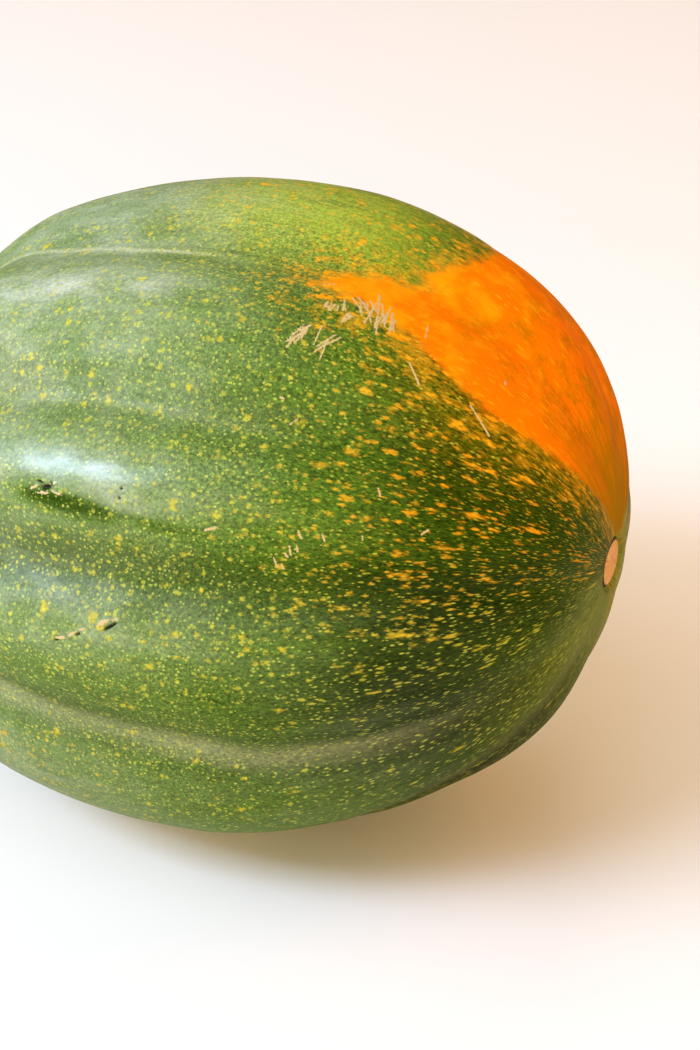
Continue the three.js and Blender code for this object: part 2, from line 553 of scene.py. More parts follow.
@dataclass(frozen=True)
class ScarFinish:
    """Dry cork where the blossom dropped off: matt and peach-coloured, with painted shadow in the groove
    round it.

    Attributes:
        cork, pale_cork: The cork's two tones.
        groove: The colour of the painted shadow in the groove.
        grain: The size of the cork's grain, in metres.
        patch: The size of its paler patches, in millimetres.
        roughness: Its roughness.
        relief: The height of its grain, in metres.
    """

    cork: str = "bf8c4c"
    pale_cork: str = "d0a670"
    # The groove's dark brown is painted shadow.
    groove: str = "3c2812"
    grain: float = 1.11 * MM
    patch: float = 8.33
    roughness: float = 0.8
    relief: float = 0.15 * MM

    def material(self) -> bpy.types.Material:
        """Builds the scar's material.

        Returns:
            The material.
        """
        scar = new_material("dry_blossom_scar")
        node: AddNode = partial(add_node, scar)
        growth = node("Attribute", attribute_name="growth", out="Vector")
        arc = node("SeparateXYZ", node("Attribute", attribute_name="zones", out="Vector"))
        grain = node("TexNoise", node("TexCoord", out="Object"), 1 / self.grain, 3.0)
        patches = node("TexNoise", growth, 1 / self.patch, 2.0)
        tone = node("Math", grain, 0.5, patches, operation="MULTIPLY_ADD")
        amount = node("MapRange", tone, 0.55, 0.95, interpolation_type=SOFT)
        colour = node("Mix", amount, linear(self.cork), linear(self.pale_cork), data_type="RGBA")
        # The cork ends about 4 mm out from the middle, where the groove starts and is painted dark as its
        # shadow.
        rim = node("MapRange", arc, 3.9, 4.4, interpolation_type=SOFT)
        colour = node("Mix", rim, colour, linear(self.groove), data_type="RGBA")
        bump = node("Bump", named={"Height": tone, "Distance": self.relief, "Strength": 0.7})
        shader = node(
            "BsdfPrincipled", named={"Base Color": colour, "Roughness": self.roughness, "Normal": bump}
        )
        node("OutputMaterial", shader)
        return scar


@dataclass(frozen=True)
class StemFinish:
    """A dried squash stem: matt and fibrous, grey-green in the grooves and straw-coloured on the ridges.

    Attributes:
        ridge, groove: The wood's colours on the ridges and between them.
        cut: The paler wood of the cut end.
        fibre: The width of the fibres, in metres. They are eight times as long.
        patch: The size of the patches in the wood's tone, in metres.
        roughness: The wood's roughness.
        relief: The height of the fibres, in metres.
    """

    ridge: str = "a08c58"
    groove: str = "5c5a2e"
    cut: str = "c9b482"
    fibre: float = 0.714 * MM
    patch: float = 6.25 * MM
    roughness: float = 0.85
    relief: float = 0.3 * MM

    def material(self) -> bpy.types.Material:
        """Builds the stem's material.

        Returns:
            The material.
        """
        stem = new_material("dry_stem_wood")
        node: AddNode = partial(add_node, stem)
        place = node("TexCoord", out="Object")
        wood = node("SeparateXYZ", node("Attribute", attribute_name="wood", out="Vector")).node
        ridge, out, ring = wood.outputs
        along = node("Mapping", place, named={"Scale": (0.12, 1, 1)})
        fibres = node("TexNoise", along, 1 / self.fibre, 5.0, 0.7)
        patches = node("TexNoise", place, 1 / self.patch, 3.0)
        tone = node("Math", fibres, 0.8, patches, operation="MULTIPLY_ADD")
        tone = node("Math", ridge, 0.35, tone, operation="MULTIPLY_ADD")
        amount = node("MapRange", tone, 0.8, 1.3, interpolation_type=SOFT)
        colour = node("Mix", amount, linear(self.groove), linear(self.ridge), data_type="RGBA")
        # The cut shows paler wood round a darker pith.
        pith = node("MapRange", node("Math", fibres, 0.4, ring, operation="MULTIPLY_ADD"), 0.35, 0.6)
        inner = node("Mix", pith, linear(self.groove), linear(self.cut), data_type="RGBA")
        faced = node("MapRange", ring, 0.97, 0.88)
        cut = node("Math", node("MapRange", out, 17.2, 17.6), faced, operation="MULTIPLY")
        colour = node("Mix", cut, colour, inner, data_type="RGBA")
        bump = node("Bump", named={"Height": fibres, "Distance": self.relief, "Strength": 0.8})
        shader = node(
            "BsdfPrincipled", named={"Base Color": colour, "Roughness": self.roughness, "Normal": bump}
        )
        node("OutputMaterial", shader)
        return stem


# --- Modelling helpers -----------------------------------------------------------------------------


def deselect_all() -> None:
    """Leaves no object selected and none active."""
    bpy.ops.object.select_all(action="DESELECT")
    bpy.context.view_layer.objects.active = None


def points_of(piece: bpy.types.Object) -> np.ndarray:
    """Reads a piece's points.

    Args:
        piece: The object.

    Returns:
        Their places, as rows of x, y and z.
    """
    places = np.empty(len(piece.data.vertices) * 3)
    piece.data.vertices.foreach_get("co", places)
    return places.reshape(-1, 3)


def store(piece: bpy.types.Object, name: str, *parts: np.ndarray) -> None:
    """Keeps a vector for each point of the piece, of these three parts, as an attribute of that name."""
    attribute = piece.data.attributes.new(name, "FLOAT_VECTOR", "POINT")
    attribute.data.foreach_set("vector", np.stack(parts, 1).astype(np.float32).ravel())


def stored(piece: bpy.types.Object, name: str) -> np.ndarray:
    """Reads back the vectors that store kept.

    Args:
        piece: The object that has them.
        name: The attribute's name.

    Returns:
        One row of three numbers for each point.
    """
    values = np.empty(len(piece.data.vertices) * 3, dtype=np.float32)
    piece.data.attributes[name].data.foreach_get("vector", values)
    return values.reshape(-1, 3).astype(float)


def smoothed(value: np.ndarray, start: float, end: float) -> np.ndarray:
    """Rises smoothly from 0 where value is start to 1 where it is end."""
    share = np.clip((value - start) / (end - start), 0, 1)
    return share * share * (3 - 2 * share)


def apply_modifier(piece: bpy.types.Object, name: str, kind: str, **settings: object) -> None:
    """Adds a modifier with its settings and applies it.

    Args:
        piece: The object that gets it.
        name: The modifier's name.
        kind: The modifier's type.
        settings: The modifier's own properties.
    """
    modifier = piece.modifiers.new(name, kind)
    for key, value in settings.items():
        setattr(modifier, key, value)
    deselect_all()
    piece.select_set(True)
    bpy.context.view_layer.objects.active = piece
    bpy.ops.object.modifier_apply(modifier=modifier.name)


def press(piece: bpy.types.Object, name: str, depth: np.ndarray) -> None:
    """Presses each point of a piece in along its normal.

    Args:
        piece: The object to press.
        name: What the pressing makes.
        depth: How far each point goes in, in metres. A negative depth raises it.
    """
    for sign, word in ((1.0, "in"), (-1.0, "out")):
        most = float((sign * depth).max())
        if most <= 0:
            continue
        group = piece.vertex_groups.new(name=f"{name}_{word}")
        weights = np.clip(sign * depth / most, 0, 1)
        for index in np.nonzero(weights > 1e-4)[0]:
            group.add([int(index)], float(weights[index]), "REPLACE")
        settings = {"strength": -sign * most, "mid_level": 0.0, "vertex_group": group.name}
        apply_modifier(piece, group.name, "DISPLACE", **settings)
        piece.vertex_groups.remove(piece.vertex_groups[f"{name}_{word}"])


def edit(piece: bpy.types.Object) -> bmesh.types.BMesh:
    """Opens a piece in edit mode with nothing selected.

    Args:
        piece: The object to edit.

    Returns:
        Its edit mesh.
    """
    deselect_all()
    piece.select_set(True)
    bpy.context.view_layer.objects.active = piece
    bpy.ops.object.mode_set(mode="EDIT")
    bpy.ops.mesh.select_all(action="DESELECT")
    return bmesh.from_edit_mesh(piece.data)


def select_where(
    piece: bpy.types.Object, mesh: bmesh.types.BMesh, element: Element, wanted: Callable[..., bool]
) -> int:
    """Selects the points or the faces that pass a test, in edit mode.

    Args:
        piece: The object in edit mode.
        mesh: Its edit mesh.
        element: Whether points or faces are selected.
        wanted: The test that each of them is put to.

    Returns:
        How many pass.
    """
    bpy.ops.mesh.select_mode(type=element.value)
    parts = mesh.faces if element is Element.FACE else mesh.verts
    for part in parts:
        part.select = wanted(part)
    mesh.select_flush_mode()
    bmesh.update_edit_mesh(piece.data)
    return sum(part.select for part in parts)


# --- The fruit -------------------------------------------------------------------------------------


@dataclass(frozen=True)
class Half:
    """One half of the fruit, from its widest place to one end.

    Attributes:
        length: The half's length along the growth axis.
        fullness: The power of the sine in its outline: at 1 an ellipse, and below 1 blunter.
        furrow_fade: How fast its furrows get shallower towards the end.
        bare_radius: The radius at which they stop.
    """

    length: float
    fullness: float
    furrow_fade: float
    bare_radius: float

    def point(self, belly: float, turn: float) -> tuple[float, float]:
        """Finds a point of its outline.

        Args:
            belly: The fruit's radius at its widest place.
            turn: The outline's own angle, in radians: a quarter turn at the belly and 0 at the end.

        Returns:
            The point's distance along the growth axis and its radius.
        """
        return self.length * math.cos(turn), belly * math.sin(turn) ** self.fullness

    def turn_at(self, belly: float, radius: float) -> float:
        """Returns the outline's own angle where it comes in to a radius, for a fruit with that belly."""
        return math.asin((radius / belly) ** (1 / self.fullness))


@dataclass(frozen=True)
class Furrow:
    """A furrow between two ribs, with the pale line, partly painted sheen, that may run along its bottom.

    Attributes:
        path: Places along it, from the blossom end: the distance along the skin in millimetres, and the
            angle round the growth axis in degrees, 0 at the front (-Y) and 90 at the top.
        line: Places along its pale line: the distance, the line's half-width in millimetres, and its
            strength from 0 to 1.
        depth: Its depth at the belly.
        shade: How much painted shade darkens the skin at its bottom, as a share.
    """

    path: tuple[tuple[float, float], ...]
    line: tuple[tuple[float, float, float], ...] = ((40, 2, 0), (80, 2.5, 0.45), (205, 2.5, 0.6))
    depth: float = 3.2 * MM
    shade: float = 0.2

    def angle_at(self, arc: np.ndarray) -> np.ndarray:
        """Returns the furrow's angle at each distance from the blossom end."""
        return np.interp(arc, *zip(*self.path))


class SkinPlaces(NamedTuple):
    """Where some points lie on the fruit's skin.

    Attributes:
        arc: Their distances from the blossom end along the skin, in millimetres.
        angle: Their angles round the growth axis in degrees, 0 at the front (-Y) and 90 at the top.
        radius: Their distances from the growth axis, in millimetres.
    """

    arc: np.ndarray
    angle: np.ndarray
    radius: np.ndarray


@dataclass(frozen=True)
class Patch:
    """A soft-edged patch: a swell of the skin, or where bloom and painted sheen, painted shade or polish
    lie.

    Attributes:
        arc: Its distance from the blossom end along the skin, in millimetres.
        angle: Its angle round the growth axis, in degrees.
        length: How far it spreads along the rib, in millimetres.
        width: How far it spreads across the rib, in millimetres.
        height: Its strength in the middle, which for a swell is how far it stands out, in metres.
    """

    arc: float
    angle: float
    length: float
    width: float
    height: float

    def rise(self, at: SkinPlaces) -> np.ndarray:
        """Works out how strong it is.

        Args:
            at: Places on the skin.

        Returns:
            Its strength at each of them.
        """
        along = (at.arc - self.arc) / self.length
        around = np.radians((at.angle - self.angle + 180) % 360 - 180) * at.radius / self.width
        return self.height * np.exp(-(along**2) - around**2)


@dataclass(frozen=True)
class Zone:
    """A zone of the skin with straight fades along the ribs and round the growth axis.

    Attributes:
        strength: Its strength where it is full.
        arc: Its fades along the skin, each from where the zone is 0 to where it is full, in millimetres.
        angle: Its fades round the axis, in degrees that run from -90, right below, on to 270.
    """

    strength: float
    arc: tuple[tuple[float, float], ...] = ()
    angle: tuple[tuple[float, float], ...] = ()

    def rise(self, at: SkinPlaces) -> np.ndarray:
        """Works out how strong it is.

        Args:
            at: Places on the skin.

        Returns:
            Its strength at each of them.
        """
        fades = [smoothed(at.arc, *fade) for fade in self.arc]
        fades += [smoothed((at.angle + 90) % 360 - 90, *fade) for fade in self.angle]
        return self.strength * np.prod(fades, axis=0)


def total(patches: Sequence[Patch], at: SkinPlaces) -> np.ndarray:
    """Returns what some patches add up to at each place."""
    return sum(patch.rise(at) for patch in patches)


def strongest(zones: Sequence[Zone], at: SkinPlaces) -> np.ndarray:
    """Returns the strength of the strongest of some zones at each place."""
    return np.max([zone.rise(at) for zone in zones], axis=0)


@dataclass(frozen=True)
class Mark:
    """A straight mark on the skin, such as a scratch or a tear.

    Attributes:
        arc: The distance of its middle from the blossom end, along the skin, in millimetres.
        angle: The place of its middle round the growth axis, in degrees.
        heading: Its direction in degrees: 0 runs along the rib, and 90 round the fruit, upwards.
        length: Its length in millimetres.
        width: Its width in millimetres.
    """

    arc: float
    angle: float
    heading: float
    length: float
    width: float = 0.42


@dataclass(frozen=True)
class Bundle:
    """A place where the skin is scraped in many fine lines, side by side.

    Attributes:
        middle: The mark that runs through its middle, as long and as wide as the longest line.
        spread: How far the lines stray from the middle, in millimetres.
        count: The number of lines.
    """

    middle: Mark
    spread: float
    count: int

    def marks(self, chance: random.Random) -> list[Mark]:
        """Strews its lines.

        Args:
            chance: The source of the lines' places, headings and lengths.

        Returns:
            The lines, as marks.
        """
        lines = []
        for _ in range(self.count):
            aside, ahead = chance.uniform(-1, 1) * self.spread, chance.uniform(-0.5, 0.5) * self.spread
            heading = math.radians(self.middle.heading)
            lines.append(
                Mark(
                    self.middle.arc - aside * math.sin(heading) + ahead * math.cos(heading),
                    self.middle.angle + (aside * math.cos(heading) + ahead * math.sin(heading)),
                    self.middle.heading + chance.gauss(0, 11),
                    self.middle.length * chance.uniform(0.35, 1),
                    self.middle.width * chance.uniform(0.8, 1.2),
                )
            )
        return lines


@dataclass(frozen=True)
class GrowthAxis:
    """How the growth axis lies.

    Attributes:
        lean_side: How far it drifts towards the back for each metre along it.
        lean_up: How far it drifts upwards.
        tip: How far the blossom end is tipped down, in radians.
    """

    lean_side: float = 0.032
    lean_up: float = 0.0515
    tip: float = math.radians(1.59)

    def matrix(self, centre: Vector) -> Matrix:
        """Works out how the level fruit goes to its place on the table.

        Args:
            centre: The middle of the fruit, on the table.

        Returns:
            The matrix that takes it there.
        """
        lean = Matrix.Identity(4)
        lean[1][0] = self.lean_side
        lean[2][0] = self.lean_up
        return Matrix.Translation(centre) @ Matrix.Rotation(self.tip, 4, "Y") @ lean


@dataclass
class SquashFruit:
    """The ribbed fruit, with its blossom scar, furrows, dents, tears and scratches.

    Attributes:
        belly: The radius at the widest place, over the ribs.
        blossom, stem: The half towards the blossom end and the half towards the stem.
        full_furrow_radius: The radius from which the furrows have their whole depth.
        furrow_softness: How round the furrows are at the bottom.
        axis: How the growth axis lies.
        furrows: The furrows in their order round the axis, upwards from the front.
        swells: Where the ribs bulge.
        bloom_and_sheen_patches, shade, polish: Patches of bloom and painted sheen, of painted shade, and of
            polish.
        even_polish: The polish that all of the belly has.
        fleck_stretch: How much longer the flecks are at the blossom end, as a share.
        olive, lime: Zones of those tints.
        warm: Zones where the flecks are amber.
        sparse: Zones with fewer flecks.
        green: Zones where less amber shines through.
        calm: Zones where the skin's tone is even.
        socket_radius, socket_floor: The stem socket's radius and its floor's distance from the belly.
        shoulder_radius, shoulder_pulls, shoulder_steps: Where the skin starts to curve into the socket, the
            two points that pull the curve, each a distance and a radius, and the steps that it is drawn in.
        scar_radius, scar_sunk: The blossom scar's radius and how deep it lies.
        groove_radius, groove_depth, rim_radius: The groove round it and the rim of the skin.
        steps_per_rib, steps_per_half: How finely the turned body is divided, before it is rounded.
        lump_size, lump_height: The slow unevenness of the skin.
        ground_spot: The spot's outline, as distances from the blossom end in millimetres and angles.
        spot_radius: The fruit's radius in the middle of the spot, in millimetres.
        rust: How strongly amber shines through the green beside the spot.
        scratches, bundles: Corky scratches, and scrapes of many.
        flakes, pits: The flakes of torn skin and the dark pits under them.
        dents: The dents round the torn skin.
        seed: The seed of the chance that strews the bundles' lines.
        dent_depth, scratch_height, flake_height, pit_depth: How deep or high each of them is.
        centre: The middle of the fruit, where it has been set down.
        piece: The fruit's object.
    """

    belly: float = 60 * MM
    blossom: Half = Half(69.9 * MM, 0.913, 1.3, 6 * MM)
    stem: Half = Half(70.1 * MM, 0.997, 0.45, 10.5 * MM)
    full_furrow_radius: float = 20 * MM
    furrow_softness: float = 0.24
    axis: GrowthAxis = GrowthAxis()
    furrows: tuple[Furrow, ...] = (
        Furrow(
            ((0, -22), (54, -21.5), (78, -20.5), (87, -17.6), (102, -15.6), (123, -14), (205, -13)),
            ((32, 3, 0), (52, 4, 0.22), (88, 5, 0.54), (105, 5, 0.36), (125, 5, 0.44), (205, 3, 0.5)),
            depth=4.2 * MM,
            shade=0.26,
        ),
        Furrow(((0, 16), (205, 16)), ((100, 1, 0), (205, 1.5, 0.3)), depth=4.6 * MM, shade=0.38),
        Furrow(
            ((0, 44), (205, 44)),
            ((72, 1.0, 0), (82, 1.2, 0.16), (125, 1.3, 0.2), (205, 1.6, 0.4)),
            depth=3.4 * MM,
            shade=0.12,
        ),
        Furrow(
            (
                (0, 86), (50, 86), (67, 84), (85, 79.5), (105, 76.5),
                (118, 76.5), (134, 79), (150, 85), (205, 86),
            ),
            ((96, 0.7, 0), (108, 0.75, 0.9), (150, 0.9, 1.0), (205, 1.5, 0.7)),
            shade=0.06,
        ),
        Furrow(((0, 119), (60, 122), (90, 123), (205, 121)), depth=1.8 * MM),
        Furrow(((0, 157), (205, 158))),
        Furrow(((0, 195), (205, 196))),
        Furrow(((0, 234), (205, 233))),
        Furrow(((0, 267), (205, 265))),
        Furrow(
            ((0, 306), (30, 306), (60, 302), (90, 299), (130, 299), (205, 302)),
            depth=2.2 * MM,
            shade=0.3,
        ),
    )
    swells: tuple[Patch, ...] = (
        Patch(78, -43, 27, 27, 1.3 * MM),
        Patch(70, 124, 30, 28, 1.5 * MM),
        Patch(33, -78, 14, 26, 1.4 * MM),
        Patch(150, 100, 20, 30, 1.0 * MM),
        Patch(105, 8, 42, 7, 1.1 * MM),
        Patch(146, -50, 34, 30, 1.8 * MM),
    )
    # Patches of pale bloom, most of them painted sheen and painted light.
    bloom_and_sheen_patches: tuple[Patch, ...] = (
        Patch(118, 64, 22, 7, 0.17),
        Patch(14, -10, 8, 26, 0.05),
        Patch(132, 65, 17, 3.5, 0.36),
        Patch(111, 64, 7, 3.5, 0.22),
        Patch(101, 27.5, 8, 4, 0.2),
        Patch(124, -36, 24, 16, 0.26),
        Patch(120, 96, 26, 18, 0.12),
        Patch(108, 8, 32, 6.5, 0.26),
        Patch(108, 32, 22, 5, 0.3),
        Patch(130, 70, 27, 44, 0.34),
        Patch(94, 50, 18, 9, 0.1),
        Patch(62, -30, 26, 24, 0.1),
        Patch(165, 200, 60, 90, 0.3),
    )
    # Patches of painted shade.
    shade: tuple[Patch, ...] = (
        Patch(56, -3, 21, 11, 0.58),
        Patch(112, -10, 26, 12, 0.17),
        Patch(80, -26, 34, 6, 0.1),
        Patch(44, -27, 18, 8, 0.2),
        Patch(28, -54, 18, 12, 0.2),
        Patch(36, -66, 40, 9, 0.34),
        Patch(62, -32, 26, 26, 0.2),
        Patch(126, 80, 22, 6, 0.12),
        Patch(128, 48, 22, 8, 0.12),
        Patch(124, 15, 24, 9, 0.1),
        Patch(112, 100, 24, 22, 0.08),
    )
    polish: tuple[Patch, ...] = (
        Patch(116, 32, 28, 10, 0.95),
        Patch(126, 8, 16, 6, 0.3),
        Patch(118, 66, 24, 10, 0.08),
        Patch(111, 64, 8, 4, 0.16),
        Patch(131, 65, 16, 4.5, 0.34),
        Patch(110, 180, 45, 30, 0.4),
        Patch(110, 250, 45, 30, 0.25),
    )
    even_polish: float = 0.05
    fleck_stretch: float = 1.3
    olive: tuple[Zone, ...] = (
        Zone(1, ((50, 8),), ((9, -35),)),
        Zone(1, ((50, 8),), ((161, 205),)),
        Zone(0.75, ((22, 8),), ((24, -8),)),
        Zone(0.75, ((22, 8),), ((60, 92),)),
    )
    lime: tuple[Zone, ...] = (Zone(0.8, ((126, 96), (54, 90)), ((70, 88), (152, 118))),)
    warm: tuple[Zone, ...] = (
        Zone(1, ((88, 52),), ((-4, 34),)),
        Zone(0.85, ((126, 100),), ((78, 92), (181, 180))),
        Zone(0.5, ((96, 118),), ((-16, -28),)),
    )
    sparse: tuple[Zone, ...] = (
        Zone(0.66, ((98, 70),), ((12, -14),)),
        Zone(0.5, (), ((12, -24),)),
        Zone(0.4, ((30, 46), (82, 66)), ((-18, -8), (12, 2))),
        Zone(0.5, ((48, 22),), ((56, 40),)),
        Zone(0.85, ((97, 107), (141, 131)), ((25.5, 28.5), (37.5, 34.5))),
    )
    green: tuple[Zone, ...] = (
        Zone(0.9, ((52, 78),)),
        Zone(1, (), ((66, 96),)),
        Zone(0.85, ((36, 16),), ((64, 44),)),
    )
    calm: tuple[Zone, ...] = (
        Zone(0.55, ((82, 122),)),
        Zone(0.7, (), ((-24, -40),)),
        Zone(0.7, (), ((80, 96),)),
    )
    socket_radius: float = 10.5 * MM
    socket_floor: float = 64.3 * MM
    shoulder_radius: float = 20 * MM
    shoulder_pulls: tuple[tuple[float, float], ...] = ((66.4 * MM, 11.6 * MM), (68.2 * MM, 15 * MM))
    scar_radius: float = 4.2 * MM
    scar_sunk: float = 0.5 * MM
    groove_radius: float = 4.9 * MM
    groove_depth: float = 1.0 * MM
    rim_radius: float = 5.8 * MM
    shoulder_steps: int = 6
    steps_per_rib: int = 9
    steps_per_half: int = 19
    lump_size: float = 24 * MM
    lump_height: float = 0.9 * MM
    ground_spot: tuple[tuple[float, float], ...] = (
        (83, 74), (82, 77), (79, 80), (73, 83), (66, 85), (69, 88), (66, 92), (63, 100), (62, 107),
        (66, 118), (66, 130), (58, 143), (45, 151), (28, 150), (10, 142), (4, 120), (4, 90), (10, 74),
        (19, 66), (26, 63), (36, 61), (48, 61), (57, 64.5), (64, 68), (71, 70), (78, 72),
    )
    spot_radius: float = 50.0
    rust: float = 0.34
    scratches: tuple[Mark, ...] = (
        Mark(71, 71, 75, 11, 0.34),
        Mark(61.3, 61.3, 45, 4.8, 0.34),
        Mark(48, 58.5, 31, 6.9, 0.34),
        Mark(62.3, 71.8, 82, 3.9, 0.26),
        Mark(86, 26.2, -22, 2.7, 0.4),
        Mark(71.7, 27.2, 60, 2.1, 0.32),
        Mark(67.9, 27.2, 60, 2.1, 0.32),
        Mark(72.8, 24.3, 72, 2.6, 0.32),
        Mark(71.7, 24.7, 72, 2.0, 0.32),
        Mark(74.7, 21.6, 62, 2.2, 0.32),
        Mark(73.6, 21.2, 62, 1.8, 0.32),
        Mark(80.3, 49.8, 5, 1.5, 0.34),
        Mark(60.6, 37.2, 66, 2.2, 0.32),
        Mark(51.8, 31.1, -42, 2.2, 0.42),
        Mark(61.8, 28.2, 74, 1.4, 0.3),
        Mark(77.2, 46.5, -50, 2.4, 0.26),
        Mark(46.3, 71.2, 70, 1.6, 0.4),
    )
    bundles: tuple[Bundle, ...] = (
        Bundle(Mark(70, 70, 84, 8, 0.32), 2.2, 13),
        Bundle(Mark(73, 71, 66, 5.4, 0.34), 1.7, 8),
        Bundle(Mark(77.8, 69, 78, 4.0, 0.32), 1.6, 9),
        Bundle(Mark(75.5, 67.2, 97, 4.6, 0.32), 0.8, 4),
        Bundle(Mark(79.0, 60.6, 112, 5.0, 0.28), 3.0, 13),
        Bundle(Mark(80.6, 74, 100, 2.0, 0.3), 1.8, 4),
        Bundle(Mark(74, 23, 66, 2.0, 0.28), 1.6, 4),
    )
    flakes: tuple[Mark, ...] = (
        Mark(109.2, 4.9, -14, 2.2, 0.5),
        Mark(107.2, 5.9, -36, 1.6, 0.5),
        Mark(105.6, 6.9, -20, 1.3, 0.4),
        Mark(102.1, 8.5, -32, 2.4, 0.7),
        Mark(100.1, 9.2, -38, 1.2, 0.4),
        Mark(117.4, 28.4, -30, 2.0, 0.42),
        Mark(115.6, 27.7, -6, 2.4, 0.4),
        Mark(113.0, 28.0, 10, 2.0, 0.36),
        Mark(114.0, 29.4, -12, 1.4, 0.3),
    )
    pits: tuple[Mark, ...] = (
        Mark(106.2, 6.0, -30, 0.8, 0.4),
        Mark(109.9, 4.4, -20, 0.9, 0.35),
        Mark(100.9, 8.0, -35, 2.6, 0.55),
        Mark(115.2, 28.7, -10, 1.8, 0.8),
        Mark(116.6, 29.4, 14, 1.4, 0.35),
        Mark(114.2, 29.3, 50, 1.0, 0.3),
        Mark(101.8, 30.4, 0, 0.5, 0.4),
        Mark(101.8, 28.8, 0, 0.6, 0.4),
        Mark(82.3, -3.8, 24, 4.2, 0.2),
    )
    dents: tuple[Mark, ...] = (
        Mark(111, 26.6, 5, 20, 3.4),
        Mark(98, 25.6, 5, 20, 2.0),
    )
    seed: int = 7
    dent_depth: float = 0.45 * MM
    scratch_height: float = 0.08 * MM
    flake_height: float = 0.14 * MM
    pit_depth: float = 0.5 * MM
    centre: Vector = field(default_factory=Vector)
    piece: bpy.types.Object | None = None

    def outline(self) -> list[tuple[float, float]]:
        """Works out the fruit's half outline.

        Returns:
            Points as distance along the growth axis and radius, from the middle of the stem socket over
            the belly to the middle of the blossom scar.
        """
        floor, quarter = -self.socket_floor, math.pi / 2
        points = [(floor, share * self.socket_radius) for share in (0.0, 0.5, 0.85)]
        shoulder = self.stem.turn_at(self.belly, self.shoulder_radius)
        turns = np.linspace(shoulder, quarter, self.steps_per_half, endpoint=False)
        skin = np.array([self.stem.point(self.belly, turn) for turn in turns]) * (-1, 1)
        pulls = np.array(self.shoulder_pulls) * (-1, 1)
        corners = np.array([(floor, self.socket_radius), *pulls, skin[0]])
        for t in np.linspace(0, 1, self.shoulder_steps, endpoint=False):
            points.append(((1 - t) ** 3, 3 * t * (1 - t) ** 2, 3 * t * t * (1 - t), t**3) @ corners)
        points += [*skin]
        rim = self.blossom.turn_at(self.belly, self.rim_radius)
        for turn in np.linspace(quarter, rim, self.steps_per_half + 1):
            points.append(self.blossom.point(self.belly, turn))
        end = self.blossom.length
        groove, scar = end - self.groove_depth, end - self.scar_sunk
        return [
            *points,
            (end - 0.5 * self.groove_depth, self.groove_radius + 0.35 * MM),
            (groove, self.groove_radius),
            (groove, self.groove_radius - 0.3 * MM),
            (scar, self.scar_radius),
            (scar, 0.6 * self.scar_radius),
            (scar, 0.0),
        ]

    def turn_body(self) -> None:
        """Draws the half outline point by point and spins it round the growth axis, rib by rib."""
        deselect_all()
        bpy.ops.mesh.primitive_plane_add(size=MM)
        self.piece = bpy.context.object
        self.piece.name = self.piece.data.name = "fruit"
        edit(self.piece)
        bpy.ops.mesh.select_all(action="SELECT")
        bpy.ops.mesh.merge(type="CENTER")
        angles = [float(furrow.angle_at(np.array(self.mid_arc))) for furrow in self.furrows]
        first = math.radians(angles[0])
        outwards = Vector((0, -math.cos(first), math.sin(first)))
        points = [Vector((along, 0, 0)) + outwards * radius for along, radius in self.outline()]
        bpy.ops.transform.translate(value=points[0])
        for here, place in zip(points, points[1:]):
            bpy.ops.mesh.extrude_vertices_move(TRANSFORM_OT_translate={"value": place - here})
        bpy.ops.mesh.select_all(action="SELECT")
        for start, end in zip(angles, [*angles[1:], angles[0] + 360]):
            bpy.ops.mesh.spin(
                steps=self.steps_per_rib,
                angle=math.radians(end - start),
                center=(0, 0, 0),
                axis=(-1, 0, 0),
            )
        bpy.ops.mesh.select_all(action="SELECT")
        bpy.ops.mesh.remove_doubles(threshold=0.001 * MM)
        bpy.ops.mesh.normals_make_consistent(inside=False)
        bpy.ops.mesh.faces_shade_smooth()
        bpy.ops.object.mode_set(mode="OBJECT")
        apply_modifier(self.piece, "rounding", "SUBSURF", levels=2, render_levels=2)

    def by_half(self, front: np.ndarray) -> list[np.ndarray]:
        """Returns each point's length, fullness, furrow fade and bare radius, as the half it is in has."""
        return [np.where(front, *values) for values in zip(astuple(self.blossom), astuple(self.stem))]

    def skin_lengths(self) -> tuple[np.ndarray, np.ndarray]:
        """Tabulates the outline's own angle against the distance along the skin from the blossom end.

        Returns:
            The angles in radians and the distances in metres.
        """
        turn = np.linspace(0, math.pi, 2001)
        length, fullness, *_ = self.by_half(np.cos(turn) > 0)
        radius = self.belly * np.sin(turn).clip(0) ** fullness
        steps = np.hypot(np.diff(length * np.cos(turn)), np.diff(radius))
        return turn, np.concatenate([[0], np.cumsum(steps)])

    @property
    def mid_arc(self) -> float:
        """The distance of the belly from the blossom end along the skin, in millimetres."""
        return float(np.interp(math.pi / 2, *self.skin_lengths())) / MM

    def measure_skin(self) -> SkinPlaces:
        """Measures where each point lies on the plain turned body.

        Returns:
            Their places on the skin.
        """
        along, side, up = points_of(self.piece).T
        radius = np.hypot(side, up)
        length, fullness, *_ = self.by_half(along > 0)
        turn = np.arctan2((radius / self.belly) ** (1 / fullness), along / length)
        arc = np.interp(turn, *self.skin_lengths()) / MM
        return SkinPlaces(arc, np.degrees(np.arctan2(up, -side)), radius / MM)

    def furrow_body(self) -> None:
        """Presses the furrows in between the ribs, swells some ribs, and stores where each point lies."""
        at = self.measure_skin()
        index, count = np.arange(len(at.arc)), len(self.furrows)
        starts = np.array([furrow.angle_at(at.arc) for furrow in self.furrows])
        starts = np.vstack([starts, starts[0] + 360])
        turned = (at.angle - starts[0]) % 360 + starts[0]
        rib = np.clip((turned >= starts[:count]).sum(axis=0) - 1, 0, count - 1)
        before, after = turned - starts[rib, index], starts[rib + 1, index] - turned
        across = before / (before + after)
        nearest = np.where(across < 0.5, rib, (rib + 1) % count)

